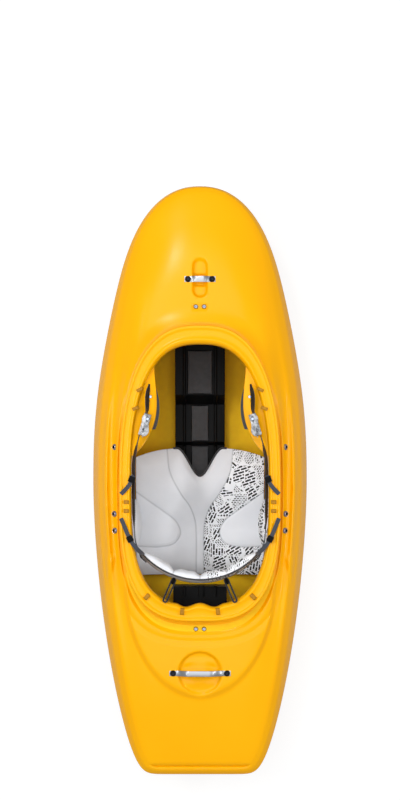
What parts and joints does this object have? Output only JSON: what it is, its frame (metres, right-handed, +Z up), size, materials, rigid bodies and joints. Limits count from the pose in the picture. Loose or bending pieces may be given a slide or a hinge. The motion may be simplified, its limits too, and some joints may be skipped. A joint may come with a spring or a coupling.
{
  "type": "whitewater kayak",
  "caption": "Short whitewater playboat with a planing hull, flanged cockpit rim, moulded seat, back band, thigh hooks and grab handles.",
  "frame": {"origin": "middle of the boat's plan outline, on the ground under the flat planing bottom", "axes": "+Y along the keel towards the bow, +X towards the paddler's right hand, +Z up"},
  "size_m": [0.6384, 1.7372, 0.3492],
  "materials": {
    "hull_plastic": "rotomoulded polyethylene, satin",
    "handle_aluminium": "satin anodised",
    "stainless": "polished stainless steel",
    "moulded_black": "moulded black polyethylene",
    "black_foam": "closed-cell foam",
    "grey_foam": "pale grey outfitting foam with fabric face",
    "webbing": "woven nylon webbing and cord",
    "ladder_plastic": "moulded toothed strap",
    "cast_metal": "cast, tumbled"
  },
  "bodies": {
    "hull": {"hull_shell": "hull_plastic", "bow_handle": "handle_aluminium", "stern_handle": "handle_aluminium", "bow_handle_bolt_left": "stainless", "bow_handle_bolt_right": "stainless", "stern_handle_bolt_left": "stainless", "stern_handle_bolt_right": "stainless", "front_pillar_screw_left": "stainless", "front_pillar_screw_right": "stainless", "rear_pillar_screw_left": "stainless", "rear_pillar_screw_right": "stainless", "seat_bolt_front_left": "stainless", "seat_bolt_front_right": "stainless", "seat_bolt_rear_left": "stainless", "seat_bolt_rear_right": "stainless", "brace_bolt_left": "stainless", "brace_bolt_right": "stainless", "thigh_screw_left": "stainless", "thigh_screw_right": "stainless", "ratchet_pin_left": "stainless", "ratchet_pin_right": "stainless", "front_pillar": "moulded_black", "rear_pillar": "moulded_black", "band_buckle_left": "moulded_black", "band_buckle_right": "moulded_black", "lifter_buckle_left": "moulded_black", "lifter_buckle_right": "moulded_black", "pillar_pad_front": "black_foam", "pillar_pad_middle": "black_foam", "pillar_pad_rear": "black_foam", "foot_block_left": "black_foam", "foot_block_right": "black_foam", "band_strap_left": "webbing", "band_strap_right": "webbing", "lifter_strap_left": "webbing", "lifter_strap_right": "webbing", "band_cord_left": "webbing", "band_cord_right": "webbing", "ladder_strap_left": "ladder_plastic", "ladder_strap_right": "ladder_plastic", "ratchet_base_left": "cast_metal", "ratchet_base_right": "cast_metal"},
    "seat": {"seat_pan": "moulded_black", "seat_pad": "grey_foam", "hip_plate_left": "handle_aluminium", "hip_plate_right": "handle_aluminium", "hip_pad_left": "grey_foam", "hip_pad_right": "grey_foam"},
    "back_band": {"back_band_shell": "moulded_black", "back_band_pad": "grey_foam"},
    "ratchet_lever_left": {"ratchet_lever_left": "cast_metal"},
    "ratchet_release_left": {"ratchet_release_left": "cast_metal"},
    "thigh_pad_left": {"thigh_pad_left": "black_foam"},
    "ratchet_lever_right": {"ratchet_lever_right": "cast_metal"},
    "ratchet_release_right": {"ratchet_release_right": "cast_metal"},
    "thigh_pad_right": {"thigh_pad_right": "black_foam"}
  },
  "joints": [
    {"name": "seat_trim", "type": "slide", "parent": "hull", "child": "seat", "axis": [0, 1, 0], "range_m": [0, 0.05]},
    {"name": "back_band_reach", "type": "slide", "parent": "hull", "child": "back_band", "axis": [0, 1, 0], "range_m": [0, 0.025], "deforming": ["ladder_strap_left", "ladder_strap_right", "band_strap_left", "band_strap_right", "band_cord_left", "band_cord_right"]},
    {"name": "ratchet_lever_left_lift", "type": "hinge", "parent": "hull", "child": "ratchet_lever_left", "pos_m": [-0.15113, 0.17862, 0.33], "axis": [0, 0, 1], "range_deg": [0, 70], "stiffness_Nm_per_rad": 0.05, "springref_deg": -17.19},
    {"name": "ratchet_release_left_press", "type": "hinge", "parent": "hull", "child": "ratchet_release_left", "pos_m": [-0.16452, 0.14507, 0.33], "axis": [0, 0, 1], "range_deg": [0, 15], "stiffness_Nm_per_rad": 0.05, "springref_deg": -11.46},
    {"name": "thigh_pad_left_trim", "type": "slide", "parent": "hull", "child": "thigh_pad_left", "axis": [0, 0.9986, 0.0524], "range_m": [-0.019, 0.019]},
    {"name": "ratchet_lever_right_lift", "type": "hinge", "parent": "hull", "child": "ratchet_lever_right", "pos_m": [0.15113, 0.17862, 0.33], "axis": [0, 0, -1], "range_deg": [0, 70], "stiffness_Nm_per_rad": 0.05, "springref_deg": -17.19},
    {"name": "ratchet_release_right_press", "type": "hinge", "parent": "hull", "child": "ratchet_release_right", "pos_m": [0.16452, 0.14507, 0.33], "axis": [0, 0, -1], "range_deg": [0, 15], "stiffness_Nm_per_rad": 0.05, "springref_deg": -11.46},
    {"name": "thigh_pad_right_trim", "type": "slide", "parent": "hull", "child": "thigh_pad_right", "axis": [0, 0.9986, 0.0524], "range_m": [-0.019, 0.019]}
  ]
}
